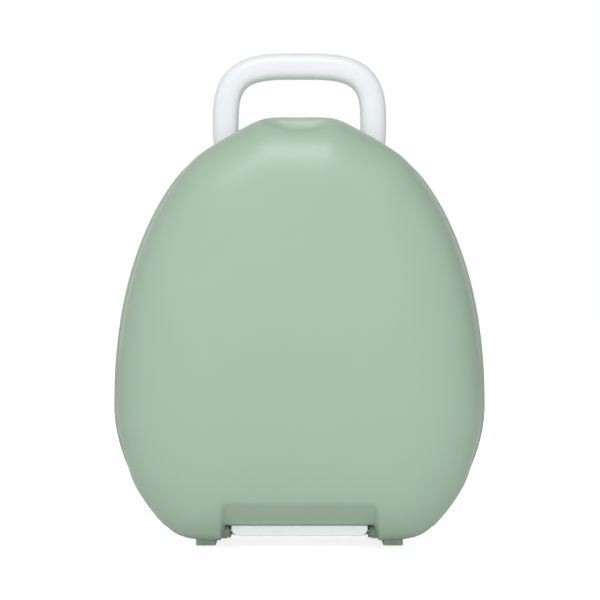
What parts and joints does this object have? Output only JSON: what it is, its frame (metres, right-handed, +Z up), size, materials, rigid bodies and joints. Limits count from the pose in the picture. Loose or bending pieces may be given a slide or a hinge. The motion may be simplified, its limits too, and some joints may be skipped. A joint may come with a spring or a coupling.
{
  "type": "portable potty",
  "caption": "Egg-shaped carry potty: a bowl and seat in a case whose hinged lid seals on it, with a folding bow handle on top, standing on its wide end.",
  "frame": {"origin": "on the floor, under the middle of the case, as it stands closed on its two feet", "axes": "+Z up, +X to the right seen from the lid's side, the lid facing -Y and the pads on the back facing +Y"},
  "size_m": [0.286, 0.165, 0.3816],
  "materials": {
    "green_plastic": "satin, moulded",
    "white_plastic": "smooth, moulded",
    "silicone": "matt",
    "pad_rubber": "matt",
    "steel": "plain"
  },
  "bodies": {
    "base": {"base_shell": "green_plastic", "potty_bowl": "white_plastic", "hinge_pin": "steel", "handle_pin_left": "steel", "handle_pin_right": "steel", "back_pad_lower_left": "pad_rubber", "back_pad_upper_left": "pad_rubber", "back_pad_lower_right": "pad_rubber", "back_pad_upper_right": "pad_rubber", "bowl_screw_lower_left": "steel", "bowl_screw_upper_left": "steel", "bowl_screw_lower_right": "steel", "bowl_screw_upper_right": "steel"},
    "lid": {"lid_shell": "green_plastic", "lid_liner": "white_plastic", "lid_seal": "silicone"},
    "handle": {"handle_front_half": "white_plastic", "handle_rear_half": "white_plastic", "handle_screw_top_left": "steel", "handle_screw_top_right": "steel", "handle_screw_leg_left": "steel", "handle_screw_leg_right": "steel"}
  },
  "joints": [
    {"name": "lid_hinge", "type": "hinge", "parent": "base", "child": "lid", "pos_m": [0, -0.0345, 0.0123], "axis": [1, 0, 0], "range_deg": [0, 105]},
    {"name": "handle_pivot", "type": "hinge", "parent": "base", "child": "handle", "pos_m": [0, -0.0195, 0.288], "axis": [-1, 0, 0], "range_deg": [0, 70]}
  ]
}
